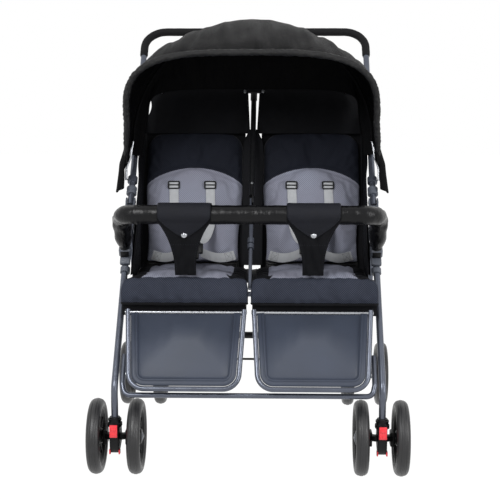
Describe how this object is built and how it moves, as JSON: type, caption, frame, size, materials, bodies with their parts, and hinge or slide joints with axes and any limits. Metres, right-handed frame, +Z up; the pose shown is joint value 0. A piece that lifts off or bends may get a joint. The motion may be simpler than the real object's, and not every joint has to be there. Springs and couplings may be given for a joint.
{
  "type": "double stroller",
  "caption": "Side-by-side folding stroller for two children, with a shared hood, handle and bumper bar, and twin-wheel casters.",
  "frame": {"origin": "on the floor under the middle of the overall box", "axes": "+Z up, +X to the right as seen from the front, +Y from the leg rests to the handle"},
  "size_m": [0.737, 0.7992, 1.0552],
  "materials": {
    "frame_tube": "satin grey paint",
    "black_plastic": "matt moulded",
    "grey_plastic": "satin moulded",
    "steel": "plated",
    "tyre": "matt",
    "foam": "fine grained foam",
    "seat_fabric": "woven",
    "mesh_fabric": "spacer mesh",
    "canopy_fabric": "plain weave with a slight shine",
    "red_plastic": "satin moulded"
  },
  "bodies": {
    "root": {"front_leg_left": "frame_tube", "front_leg_right": "frame_tube", "front_cross_tube": "frame_tube", "seat_frame": "frame_tube", "hinge_bracket_left": "black_plastic", "hinge_bracket_right": "black_plastic", "centre_strut": "frame_tube", "bumper_socket_left": "black_plastic", "bumper_socket_right": "black_plastic", "seat_cushion_left": "seat_fabric", "seat_cushion_right": "seat_fabric", "crotch_piece_left": "canopy_fabric", "crotch_piece_right": "canopy_fabric"},
    "handle_frame": {"handle_tube": "frame_tube", "handle_grip": "foam", "handle_cross_bar": "black_plastic", "centre_post": "black_plastic", "canopy_fabric": "canopy_fabric", "back_extension": "canopy_fabric"},
    "rear_frame": {"rear_leg_left": "frame_tube", "rear_leg_right": "frame_tube", "rear_cross_tube": "black_plastic", "rear_wheel_mount_left": "black_plastic", "rear_wheel_mount_right": "black_plastic"},
    "brake": {"parking_brake": "grey_plastic"},
    "canopy_front": {"canopy_front_bow": "steel"},
    "canopy_mid": {"canopy_mid_bow": "steel"},
    "bumper": {"bumper_bar": "foam"},
    "caster_left": {"caster_housing_left": "black_plastic", "front_axle_left": "steel"},
    "swivel_lock_left": {"swivel_lock_left": "red_plastic"},
    "lock_collar_left": {"lock_collar_left": "grey_plastic"},
    "backrest_left": {"backrest_board_left": "black_plastic", "backrest_pad_left": "mesh_fabric"},
    "leg_rest_left": {"leg_rest_frame_left": "frame_tube", "leg_rest_panel_left": "grey_plastic"},
    "front_wheel_left_outer": {"front_tyre_left_outer": "tyre", "front_rim_left_outer": "black_plastic"},
    "front_wheel_left_inner": {"front_tyre_left_inner": "tyre", "front_rim_left_inner": "black_plastic"},
    "rear_wheel_left_outer": {"rear_tyre_left_outer": "tyre", "rear_rim_left_outer": "black_plastic"},
    "rear_wheel_left_inner": {"rear_tyre_left_inner": "tyre", "rear_rim_left_inner": "black_plastic"},
    "caster_right": {"caster_housing_right": "black_plastic", "front_axle_right": "steel"},
    "swivel_lock_right": {"swivel_lock_right": "red_plastic"},
    "lock_collar_right": {"lock_collar_right": "grey_plastic"},
    "backrest_right": {"backrest_board_right": "black_plastic", "backrest_pad_right": "mesh_fabric"},
    "leg_rest_right": {"leg_rest_frame_right": "frame_tube", "leg_rest_panel_right": "grey_plastic"},
    "front_wheel_right_outer": {"front_tyre_right_outer": "tyre", "front_rim_right_outer": "black_plastic"},
    "front_wheel_right_inner": {"front_tyre_right_inner": "tyre", "front_rim_right_inner": "black_plastic"},
    "rear_wheel_right_outer": {"rear_tyre_right_outer": "tyre", "rear_rim_right_outer": "black_plastic"},
    "rear_wheel_right_inner": {"rear_tyre_right_inner": "tyre", "rear_rim_right_inner": "black_plastic"}
  },
  "joints": [
    {"name": "fold", "type": "hinge", "parent": "root", "child": "handle_frame", "pos_m": [0, -0.0121, 0.6], "axis": [-1, 0, 0], "range_deg": [0, 115], "deforming": ["canopy_fabric", "back_extension"]},
    {"name": "rear_fold", "type": "hinge", "parent": "root", "child": "rear_frame", "pos_m": [0, -0.0271, 0.53], "axis": [-1, 0, 0], "range_deg": [0, 40.01]},
    {"name": "caster_left_swivel", "type": "hinge", "parent": "root", "child": "caster_left", "pos_m": [-0.306, -0.3421, 0.13], "axis": [0, 0, 1], "continuous": true},
    {"name": "swivel_lock_left_flip", "type": "hinge", "parent": "caster_left", "child": "swivel_lock_left", "pos_m": [-0.306, -0.3696, 0.128], "axis": [-1, 0, 0], "range_deg": [0, 30]},
    {"name": "lock_collar_left_slide", "type": "slide", "parent": "handle_frame", "child": "lock_collar_left", "axis": [0, 0.6861, 0.7276], "range_m": [0, 0.012]},
    {"name": "backrest_left_recline", "type": "hinge", "parent": "root", "child": "backrest_left", "pos_m": [-0.152, 0.0279, 0.43], "axis": [-1, 0, 0], "range_deg": [0, 40]},
    {"name": "leg_rest_left_lift", "type": "hinge", "parent": "root", "child": "leg_rest_left", "pos_m": [-0.1468, -0.2621, 0.371], "axis": [-1, 0, 0], "range_deg": [0, 55]},
    {"name": "front_wheel_left_outer_spin", "type": "hinge", "parent": "caster_left", "child": "front_wheel_left_outer", "pos_m": [-0.352, -0.3121, 0.0875], "axis": [1, 0, 0], "continuous": true},
    {"name": "front_wheel_left_inner_spin", "type": "hinge", "parent": "caster_left", "child": "front_wheel_left_inner", "pos_m": [-0.26, -0.3121, 0.0875], "axis": [1, 0, 0], "continuous": true},
    {"name": "rear_wheel_left_outer_spin", "type": "hinge", "parent": "rear_frame", "child": "rear_wheel_left_outer", "pos_m": [-0.352, 0.2679, 0.0875], "axis": [1, 0, 0], "continuous": true},
    {"name": "rear_wheel_left_inner_spin", "type": "hinge", "parent": "rear_frame", "child": "rear_wheel_left_inner", "pos_m": [-0.26, 0.2679, 0.0875], "axis": [1, 0, 0], "continuous": true},
    {"name": "caster_right_swivel", "type": "hinge", "parent": "root", "child": "caster_right", "pos_m": [0.306, -0.3421, 0.13], "axis": [0, 0, 1], "continuous": true},
    {"name": "swivel_lock_right_flip", "type": "hinge", "parent": "caster_right", "child": "swivel_lock_right", "pos_m": [0.306, -0.3696, 0.128], "axis": [-1, 0, 0], "range_deg": [0, 30]},
    {"name": "lock_collar_right_slide", "type": "slide", "parent": "handle_frame", "child": "lock_collar_right", "axis": [0, 0.6861, 0.7276], "range_m": [0, 0.012]},
    {"name": "backrest_right_recline", "type": "hinge", "parent": "root", "child": "backrest_right", "pos_m": [0.152, 0.0279, 0.43], "axis": [-1, 0, 0], "range_deg": [0, 40]},
    {"name": "leg_rest_right_lift", "type": "hinge", "parent": "root", "child": "leg_rest_right", "pos_m": [0.1468, -0.2621, 0.371], "axis": [-1, 0, 0], "range_deg": [0, 55]},
    {"name": "front_wheel_right_outer_spin", "type": "hinge", "parent": "caster_right", "child": "front_wheel_right_outer", "pos_m": [0.352, -0.3121, 0.0875], "axis": [1, 0, 0], "continuous": true},
    {"name": "front_wheel_right_inner_spin", "type": "hinge", "parent": "caster_right", "child": "front_wheel_right_inner", "pos_m": [0.26, -0.3121, 0.0875], "axis": [1, 0, 0], "continuous": true},
    {"name": "rear_wheel_right_outer_spin", "type": "hinge", "parent": "rear_frame", "child": "rear_wheel_right_outer", "pos_m": [0.352, 0.2679, 0.0875], "axis": [1, 0, 0], "continuous": true},
    {"name": "rear_wheel_right_inner_spin", "type": "hinge", "parent": "rear_frame", "child": "rear_wheel_right_inner", "pos_m": [0.26, 0.2679, 0.0875], "axis": [1, 0, 0], "continuous": true},
    {"name": "brake_press", "type": "hinge", "parent": "rear_frame", "child": "brake", "pos_m": [0, 0.2679, 0.0875], "axis": [-1, 0, 0], "range_deg": [0, 18]},
    {"name": "canopy_open", "type": "hinge", "parent": "handle_frame", "child": "canopy_front", "pos_m": [0, 0.03455, 0.64947], "axis": [-1, 0, 0], "range_deg": [0, 30]},
    {"name": "canopy_mid_follow", "type": "hinge", "parent": "handle_frame", "child": "canopy_mid", "pos_m": [0, 0.03455, 0.64947], "axis": [-1, 0, 0], "range_deg": [0, 12.01]},
    {"name": "bumper_release", "type": "slide", "parent": "root", "child": "bumper", "axis": [0, -0.5571, 0.8304], "range_m": [0, 0.06], "deforming": ["crotch_piece_left", "crotch_piece_right"]}
  ],
  "couplings": [
    {"joint": "rear_fold", "follows": "fold", "ratio": 0.34783},
    {"joint": "canopy_mid_follow", "follows": "canopy_open", "ratio": 0.4},
    {"joint": "lock_collar_right_slide", "follows": "lock_collar_left_slide", "ratio": 1}
  ]
}
